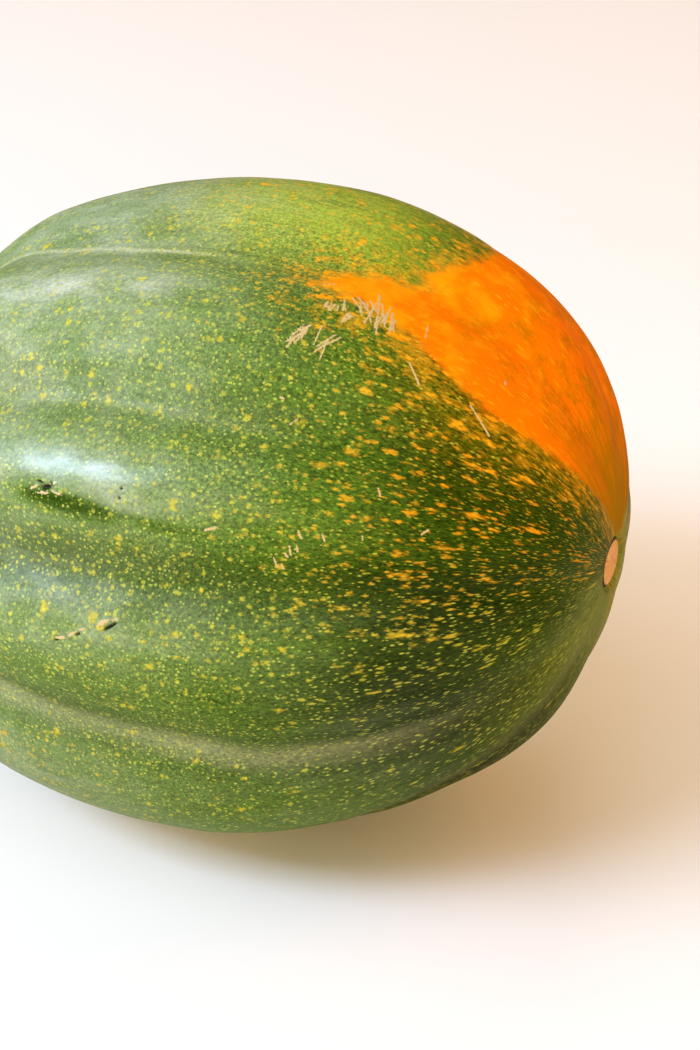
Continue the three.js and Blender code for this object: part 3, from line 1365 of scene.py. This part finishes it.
        soft = self.furrow_softness
        bulge = np.hypot(np.sin(math.pi * across), soft) - soft
        hollow = 1 - bulge / (math.hypot(1, soft) - soft)
        *_, furrow_fade, bare_radius = self.by_half(points_of(self.piece)[:, 0] > 0)
        depth = np.array([furrow.depth for furrow in self.furrows])[nearest]
        depth *= hollow * (at.radius * MM / self.belly) ** furrow_fade
        depth *= smoothed(at.radius * MM, bare_radius, self.full_furrow_radius)
        press(self.piece, "furrows", depth - total(self.swells, at))
        self.store_growth(at)
        self.store_seams(at, nearest, np.radians(np.minimum(before, after)) * at.radius)

    def store_growth(self, at: SkinPlaces) -> None:
        """Stores each point's place, as it is and as coordinates for the skin's patterns.

        Args:
            at: Where each point lies.
        """
        store(self.piece, "skin_place", *at)
        # Flecks are longest at the blossom end, so distances along the skin count for less there.
        lengths = np.arange(211.0)
        stretch = 1 + self.fleck_stretch * smoothed(lengths, 95, 40)
        drawn = np.interp(at.arc, lengths, np.concatenate([[0], np.cumsum(1 / stretch[1:])]))
        belly, around = self.belly / MM, np.radians(at.angle)
        store(self.piece, "growth", belly * np.cos(around), belly * np.sin(around), drawn)

    def store_seams(self, at: SkinPlaces, nearest: np.ndarray, gap: np.ndarray) -> None:
        """Stores where the pale lines, partly painted sheen, run and where painted shade darkens the skin.

        Args:
            at: Where each point lies.
            nearest: Each point's nearest furrow.
            gap: Each point's distance from that furrow, in millimetres.
        """
        lines = [np.array(furrow.line).T for furrow in self.furrows]
        widths, strengths = (
            np.choose(nearest, [np.interp(at.arc, line[0], line[row]) for line in lines]) for row in (1, 2)
        )
        stem_end = self.skin_lengths()[1][-1] / MM
        strengths *= smoothed(at.arc, stem_end - 8, stem_end - 30)
        # Painted shade, darkest at each furrow's bottom, and the patches of it.
        shades = np.array([furrow.shade for furrow in self.furrows])[nearest]
        shades *= smoothed(gap, 10, 1) * smoothed(at.arc, 5, 45)
        shades += total(self.shade, at)
        store(self.piece, "seams", gap / widths, strengths, shades)

    def set_down(self) -> None:
        """Leans and tips the fruit and moves it to the CAD fruit's place."""
        self.piece.data.transform(self.axis.matrix(Vector()))
        low, high = (np.array(corner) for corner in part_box("squash_fruit"))
        places = points_of(self.piece)
        least, most = places.min(axis=0), places.max(axis=0)
        centre = high - most
        centre[1] = (low[1] + high[1] - least[1] - most[1]) / 2
        self.centre = Vector(centre)
        self.piece.data.transform(Matrix.Translation(self.centre))

    def flatten_underside(self) -> None:
        """Flattens what would lie below the table, where the fruit has settled on its ribs."""
        mesh = edit(self.piece)
        count = select_where(self.piece, mesh, Element.POINT, lambda point: point.co.z < 0)
        bpy.ops.transform.resize(value=(1, 1, 0), center_override=(0, 0, 0))
        bpy.ops.object.mode_set(mode="OBJECT")
        log.info("flat spots: %d points", count)

    def roughen(self) -> None:
        """Gives the fruit the slow unevenness of a grown thing."""
        lumps = bpy.data.textures.new("lumps", "CLOUDS")
        lumps.noise_scale = self.lump_size
        settings = {"texture": lumps, "texture_coords": "LOCAL", "mid_level": 0.72}
        apply_modifier(self.piece, "lumps", "DISPLACE", strength=self.lump_height, **settings)

    def fit(self) -> None:
        """Shrinks the fruit by a hair where its unevenness stands out of the CAD fruit's box."""
        low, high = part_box("squash_fruit")
        places = points_of(self.piece) - self.centre
        shares = [1.0, 1.0, 1.0]
        for axis, limit in ((0, high), (1, low), (1, high), (2, high)):
            room = limit[axis] - self.centre[axis]
            reach = places[:, axis].max() if room > 0 else places[:, axis].min()
            shares[axis] = min(shares[axis], room / reach)
        edit(self.piece)
        bpy.ops.mesh.select_all(action="SELECT")
        bpy.ops.transform.resize(value=shares, center_override=self.centre)
        bpy.ops.object.mode_set(mode="OBJECT")

    def skin_places(self) -> SkinPlaces:
        """Reads back where each point lies on the skin."""
        return SkinPlaces(*stored(self.piece, "skin_place").T)

    def across(self, mark: Mark) -> tuple[np.ndarray, np.ndarray]:
        """Measures the fruit's points against a mark.

        Args:
            mark: The mark.

        Returns:
            Each point's distance along the mark and across it from its middle, in millimetres.
        """
        at = self.skin_places()
        heading = math.radians(mark.heading)
        ahead = at.arc - mark.arc
        up = np.radians((at.angle - mark.angle + 180) % 360 - 180) * at.radius
        return (
            ahead * math.cos(heading) + up * math.sin(heading),
            up * math.cos(heading) - ahead * math.sin(heading),
        )

    def refine(self, marks: Sequence[Mark], margin: float, cuts: int) -> None:
        """Divides the skin round some marks finely enough to model them.

        Args:
            marks: The marks.
            margin: How far round each mark the skin is divided, in millimetres.
            cuts: How many cuts each edge gets.
        """
        close = np.zeros(len(self.piece.data.vertices), dtype=bool)
        for mark in marks:
            along, side = self.across(mark)
            gap = np.hypot(np.maximum(np.abs(along) - mark.length / 2, 0), side)
            close |= gap < margin + mark.width / 2
        mesh = edit(self.piece)
        select_where(
            self.piece, mesh, Element.FACE, lambda face: any(close[point.index] for point in face.verts)
        )
        bpy.ops.mesh.subdivide(number_cuts=cuts, smoothness=1.0)
        bpy.ops.mesh.select_all(action="DESELECT")
        bpy.ops.mesh.select_face_by_sides(number=4, type="GREATER")
        bpy.ops.mesh.quads_convert_to_tris()
        bpy.ops.object.mode_set(mode="OBJECT")

    def oval(self, mark: Mark, edge: float) -> np.ndarray:
        """Measures how far inside a mark's oval each point lies: 1 well inside and 0 outside.

        Args:
            mark: The mark.
            edge: The share of the oval's size over which it fades out.

        Returns:
            The measure for each point.
        """
        along, side = self.across(mark)
        reach = np.hypot(along / (mark.length / 2), side / (mark.width / 2))
        return smoothed(reach, 1 + edge / 2, 1 - edge / 2)

    def injure(self) -> None:
        """Presses in the dent, opens the tears and raises the corky scratches, and stores their masks."""
        chance = random.Random(self.seed)
        lines = [*self.scratches, *(mark for bundle in self.bundles for mark in bundle.marks(chance))]
        self.refine([*lines, *self.flakes, *self.pits], margin=0.5, cuts=5)
        cork, wound, bruise, depth = np.zeros((4, len(self.piece.data.vertices)))
        # Each dent's hollow also gets a mask for painted shade.
        for mark in self.dents:
            along, side = self.across(mark)
            hollow = np.exp(-((along / (mark.length / 2)) ** 4) - (side / (mark.width / 2)) ** 2)
            depth += self.dent_depth * hollow
            bruise = np.maximum(bruise, hollow * mark.width / self.dents[0].width)
        for mark in lines:
            along, side = self.across(mark)
            taper = smoothed(np.abs(along), mark.length / 2, mark.length / 2 - 0.6)
            line = smoothed(np.abs(side), mark.width * 0.75, mark.width * 0.2) * taper
            cork = np.maximum(cork, line)
            depth = np.minimum(depth, -self.scratch_height * line)
        for mark in self.flakes:
            flake = self.oval(mark, 0.8)
            cork = np.maximum(cork, flake)
            depth -= self.flake_height * flake
        for mark in self.pits:
            pit = self.oval(mark, 0.8)
            wound = np.maximum(wound, pit)
            depth += self.pit_depth * pit
        press(self.piece, "injuries", depth)
        store(self.piece, "harms", cork * (1 - wound), wound, bruise)

    def spot_depth(self, at: SkinPlaces) -> np.ndarray:
        """Measures how deep each point lies in the ground spot.

        Args:
            at: Where each point lies.

        Returns:
            The distances from the spot's outline in millimetres, negative outside it.
        """
        scale = np.array([1, math.radians(1) * self.spot_radius])
        spot = np.array(self.ground_spot, dtype=float) * scale
        place = np.stack([at.arc, (at.angle + 80) % 360 - 80], 1) * scale
        nearest = np.full(len(place), np.inf)
        inside = np.zeros(len(place), dtype=bool)
        for start, end in zip(spot, np.roll(spot, -1, axis=0)):
            edge = end - start
            share = np.clip(((place - start) @ edge) / (edge @ edge), 0, 1)
            nearest = np.minimum(nearest, np.linalg.norm(place - start - share[:, None] * edge, axis=1))
            if edge[1]:
                crosses = (start[1] > place[:, 1]) != (end[1] > place[:, 1])
                meets = start[0] + (place[:, 1] - start[1]) / edge[1] * edge[0]
                inside ^= crosses & (place[:, 0] < meets)
        return np.where(inside, nearest, -nearest)

    def mark_zones(self) -> None:
        """Stores how the skin's zones, tints and flecks lie on the fruit, for its material to read."""
        at = self.skin_places()
        blush = self.spot_depth(at)
        # Pale bloom, which mostly paints sheen and light.
        bloom = np.minimum(total(self.bloom_and_sheen_patches, at), 0.9)
        gloss = total(self.polish, at) + self.even_polish * smoothed(at.arc, 55, 100)
        olive, lime, warmth, calm = (
            strongest(zones, at) for zones in (self.olive, self.lime, self.warm, self.calm)
        )
        # All flecks turn amber within 16 mm of the ground spot.
        warmth = np.maximum(warmth, smoothed(blush, -16, -2))
        # Amber shines through the skin beside the ground spot, but less in the green zones.
        crowd, amber = (
            np.prod([1 - zone.rise(at) for zone in zones], axis=0) for zones in (self.sparse, self.green)
        )
        rust = self.rust * smoothed(blush, -20, -1) * amber
        store(self.piece, "zones", at.arc, blush, bloom)
        store(self.piece, "tints", olive, lime, np.minimum(gloss, 1))
        store(self.piece, "speckle", crowd, warmth, rust)
        store(self.piece, "calm", calm, calm, calm)

    def dress(self) -> None:
        """Gives the rind and the scar their finishes."""
        self.piece.data.materials.clear()
        self.piece.data.materials.append(RindFinish().material())
        self.piece.data.materials.append(ScarFinish().material())
        on_scar = self.skin_places().arc < (self.groove_radius - 0.1 * MM) / MM
        mesh = edit(self.piece)
        select_where(
            self.piece, mesh, Element.FACE, lambda face: all(on_scar[point.index] for point in face.verts)
        )
        self.piece.active_material_index = 1
        bpy.ops.object.material_slot_assign()
        bpy.ops.object.mode_set(mode="OBJECT")

    def build(self) -> bpy.types.Object:
        """Models, places and dresses the fruit in the CAD fruit's stead.

        Returns:
            The finished fruit.
        """
        self.turn_body()
        self.furrow_body()
        self.set_down()
        self.roughen()
        self.fit()
        self.injure()
        self.flatten_underside()
        self.mark_zones()
        self.dress()
        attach(self.piece, "root")
        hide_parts("squash_fruit")
        return self.piece


@dataclass
class StemStub:
    """The dry stub of the stem, cut across, with five ridges and a foot that flares in the socket.

    Attributes:
        foot: The foot's distance from the fruit's middle, along the growth axis.
        outline: Rings from the foot to the cut, each its radius in a groove and its distance from the foot.
        ridges: The number of ridges.
        ridge_height: A ridge's height as a share of the ring's radius.
        bend: How far the cut end has drifted sideways and up.
        cut_dish: How far the middle of the cut has sunk in.
        cut_rings: The rings of the cut from the bark inwards, each its width and its share of that dish.
        steps_round: How finely it is divided round, before it is rounded.
        axis: How the growth axis lies.
    """

    foot: float = 64.6 * MM
    outline: tuple[tuple[float, float], ...] = (
        (9.4 * MM, 0.0),
        (9.3 * MM, 0.5 * MM),
        (9.0 * MM, 1.2 * MM),
        (8.2 * MM, 2.3 * MM),
        (7.4 * MM, 3.6 * MM),
        (6.7 * MM, 5.2 * MM),
        (6.3 * MM, 7.0 * MM),
        (6.0 * MM, 9.0 * MM),
        (5.9 * MM, 11.0 * MM),
        (6.0 * MM, 13.0 * MM),
        (6.2 * MM, 15.0 * MM),
        (6.5 * MM, 16.6 * MM),
        (6.6 * MM, 17.4 * MM),
        (6.5 * MM, 17.8 * MM),
        (6.1 * MM, 18.0 * MM),
    )
    ridges: int = 5
    ridge_height: float = 0.13
    bend: tuple[float, float] = (1.5 * MM, 2.2 * MM)
    cut_dish: float = 0.5 * MM
    cut_rings: tuple[tuple[float, float], ...] = ((0.25 * MM, 0.2), (1.2 * MM, 0.5), (2.0 * MM, 0.3))
    steps_round: int = 50
    axis: GrowthAxis = GrowthAxis()

    def build(self, centre: Vector) -> bpy.types.Object:
        """Extrudes the stub ring by ring, grooves it and sets it in the socket.

        Args:
            centre: The middle of the fruit.

        Returns:
            The finished stub.
        """
        length = self.outline[-1][1]
        swell = 1 + self.ridge_height
        deselect_all()
        bpy.ops.mesh.primitive_circle_add(
            vertices=self.steps_round,
            radius=self.outline[0][0] * swell,
            fill_type="NGON",
            location=(-self.foot, 0, 0),
            rotation=(0, math.pi / 2, 0),
        )
        stub = bpy.context.object
        stub.name = stub.data.name = "stem"
        bpy.ops.object.transform_apply(location=True, rotation=True, scale=True)
        edit(stub)
        bpy.ops.mesh.select_all(action="SELECT")
        for (radius, out), (next_radius, next_out) in zip(self.outline, self.outline[1:]):
            drift = (next_out / length) ** 2 - (out / length) ** 2
            step = (out - next_out, self.bend[0] * drift, self.bend[1] * drift)
            bpy.ops.mesh.extrude_region_move(TRANSFORM_OT_translate={"value": step})
            grow = next_radius / radius
            middle = Vector((-self.foot - next_out, *(b * (next_out / length) ** 2 for b in self.bend)))
            bpy.ops.transform.resize(value=(grow, grow, grow), center_override=middle)
        for width, share in self.cut_rings:
            bpy.ops.mesh.inset(thickness=width)
            bpy.ops.transform.translate(value=(share * self.cut_dish, 0, 0))
        bpy.ops.mesh.poke()
        bpy.ops.mesh.select_all(action="SELECT")
        bpy.ops.mesh.normals_make_consistent(inside=False)
        bpy.ops.mesh.faces_shade_smooth()
        bpy.ops.object.mode_set(mode="OBJECT")
        apply_modifier(stub, "rounding", "SUBSURF", levels=2, render_levels=2)
        self.groove(stub, length)
        stub.data.transform(self.axis.matrix(centre))
        stub.data.materials.append(StemFinish().material())
        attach(stub, "root")
        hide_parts("stem_stub")
        return stub

    def groove(self, stub: bpy.types.Object, length: float) -> None:
        """Presses the grooves in between the ridges and stores where the ridges are.

        Args:
            stub: The stub, before it is set in the socket.
            length: Its length from the foot to the cut.
        """
        along, side, up = points_of(stub).T
        out = -along - self.foot
        share = np.clip(out / length, 0, 1) ** 2
        side, up = side - self.bend[0] * share, up - self.bend[1] * share
        radius = np.hypot(side, up)
        turn = np.arctan2(up, -side)
        ridge = np.abs(np.cos(self.ridges * turn / 2)) ** 1.4
        ring = np.interp(out, [o for _, o in self.outline], [r for r, _ in self.outline])
        rim = smoothed(radius, 0.5 * ring, 0.95 * ring)
        press(stub, "grooves", 2 * self.ridge_height * ring * (1 - ridge) * rim)
        store(stub, "wood", ridge, out / MM, radius / ring)


# --- The scene round the squash --------------------------------------------------------------------


@dataclass
class Table:
    """A plain pale table top with a matt varnish, which isn't part of the object.

    Attributes:
        size: Its length and width, in metres.
        gap: How far it lies below the squash, so that the two don't touch.
        colour: Its colour.
        roughness: Its roughness.
    """

    size: float = 6.0
    gap: float = 0.05 * MM
    colour: str = "e9e9e8"
    roughness: float = 0.55

    def build(self) -> bpy.types.Object:
        """Makes the table top just under the squash.

        Returns:
            The finished table top.
        """
        deselect_all()
        bpy.ops.mesh.primitive_plane_add(size=self.size, location=(0, 0, -self.gap))
        top = bpy.context.object
        top.name = top.data.name = "table_top"
        bpy.ops.object.transform_apply(location=True, rotation=True, scale=True)
        paint = new_material("pale_table_top")
        shader = add_node(paint, "BsdfPrincipled", linear(self.colour), 0.0, self.roughness)
        add_node(paint, "OutputMaterial", shader)
        top.data.materials.append(paint)
        return top


def direction(bearing: float, height: float) -> Vector:
    """Works out a direction from the squash.

    Args:
        bearing: Its angle round the squash in degrees, 0 in front (-Y) and 90 at the right (+X).
        height: Its angle above the table, in degrees.

    Returns:
        The direction, one metre long.
    """
    round_squash, upwards = math.radians(bearing), math.radians(height)
    level = math.cos(upwards)
    return Vector((math.sin(round_squash) * level, -math.cos(round_squash) * level, math.sin(upwards)))


@dataclass(frozen=True)
class Softbox:
    """A soft light, placed by its bearing from the squash.

    Attributes:
        name: What it is.
        bearing: Its direction round the squash in degrees, 0 in front (-Y) and 90 at the right (+X).
        height: Its angle above the table, in degrees.
        distance: Its distance, in metres.
        size: Its width and height, in metres.
        power: Its power, in watts.
        colour: Its colour, as six hex digits.
        tilt: How far its right end is turned up, seen from the squash, in degrees.
    """

    name: str
    bearing: float
    height: float
    distance: float
    size: tuple[float, float]
    power: float
    colour: str
    tilt: float = 0.0


@dataclass
class Studio:
    """The camera and the soft window light from the left.

    Attributes:
        azimuth, elevation: The camera's direction from the fruit, in degrees.
        distance: The camera's distance from where it aims.
        aim_right, aim_up: How far it aims beside the middle of the fruit.
        lens, sensor: Its focal length and the width of its sensor, in millimetres.
        lights: The soft lights.
        room, room_strength: The colour and the strength of the light from all round.
    """

    azimuth: float = 21.82
    elevation: float = 30.0
    distance: float = 453.2 * MM
    aim_right: float = 19.5 * MM
    aim_up: float = -3.92 * MM
    lens: float = 85.0
    sensor: float = 36.0
    lights: tuple[Softbox, ...] = (
        Softbox("window_pane", -41, 40, 1.3, (0.85, 0.36), 14, "c4dcff", 28),
        Softbox("window", -62, 30, 1.3, (0.8, 0.9), 3.4, "a8dcff"),
        Softbox("skylight", -15, 58, 1.3, (1.1, 1.1), 4.5, "eef8ff"),
        Softbox("front_lamp", 36, 19, 1.3, (1.1, 0.7), 12.4, "ffdaa4"),
        Softbox("left_wall", -78, 12, 1.3, (1.0, 0.5), 10.0, "ffd6c0"),
        Softbox("back_left", -150, 52, 1.3, (0.9, 0.9), 3.5, "fffae8"),
        Softbox("back_right", 135, 40, 1.3, (0.9, 0.9), 5.8, "ffc088"),
    )
    room: str = "ffead2"
    room_strength: float = 0.15

    def place_camera(self, centre: Vector) -> None:
        """Sets the camera up so that it looks past the fruit's centre.

        Args:
            centre: The middle of the fruit's growth axis at the belly.
        """
        back, right = direction(self.azimuth, self.elevation), direction(self.azimuth + 90, 0)
        up = back.cross(right)
        target = centre + self.aim_right * right + self.aim_up * up
        deselect_all()
        bpy.ops.object.camera_add(location=target + self.distance * back)
        camera = bpy.context.object
        camera.rotation_euler = back.to_track_quat("Z", "Y").to_euler()
        camera.data.lens = self.lens
        camera.data.sensor_width = self.sensor
        camera.data.clip_start = 0.01
        bpy.context.scene.camera = camera

    def place_lights(self, centre: Vector) -> None:
        """Sets the soft lights round the fruit.

        Args:
            centre: The middle of the fruit.
        """
        for light in self.lights:
            away = direction(light.bearing, light.height)
            deselect_all()
            bpy.ops.object.light_add(type="AREA", location=centre + light.distance * away)
            lamp = bpy.context.object
            lamp.name = light.name
            tilt = Quaternion((0, 0, 1), math.radians(light.tilt))
            lamp.rotation_euler = (away.to_track_quat("Z", "Y") @ tilt).to_euler()
            lamp.data.shape = "RECTANGLE"
            lamp.data.size, lamp.data.size_y = light.size
            lamp.data.energy = light.power
            lamp.data.color = linear(light.colour)[:3]

    def light_room(self) -> None:
        """Fills the shade a little from the warm room, and gives the picture a print's contrast."""
        world = bpy.data.worlds.new("warm_room")
        world.use_nodes = True
        background = world.node_tree.nodes["Background"]
        background.inputs["Color"].default_value = linear(self.room)
        background.inputs["Strength"].default_value = self.room_strength
        bpy.context.scene.world = world
        bpy.context.scene.view_settings.view_transform = "Standard"
        bpy.context.scene.view_settings.look = "Medium High Contrast"


def main() -> None:
    """Builds the squash and what it is shown in."""
    logging.basicConfig(level=logging.INFO, format="%(name)s: %(message)s")
    studio = Studio()
    fruit = SquashFruit()
    pieces = [fruit.build()]
    pieces.append(StemStub().build(fruit.centre))
    studio.place_camera(fruit.centre)
    studio.place_lights(fruit.centre)
    studio.light_room()
    Table().build()
    for built in pieces:
        faces = sum(len(face.vertices) - 2 for face in built.data.polygons)
        log.info("%s: %d triangles", built.name, faces)
    log.info("fruit centre %s mm", [round(c / MM, 2) for c in fruit.centre])


if __name__ == "__main__":
    main()
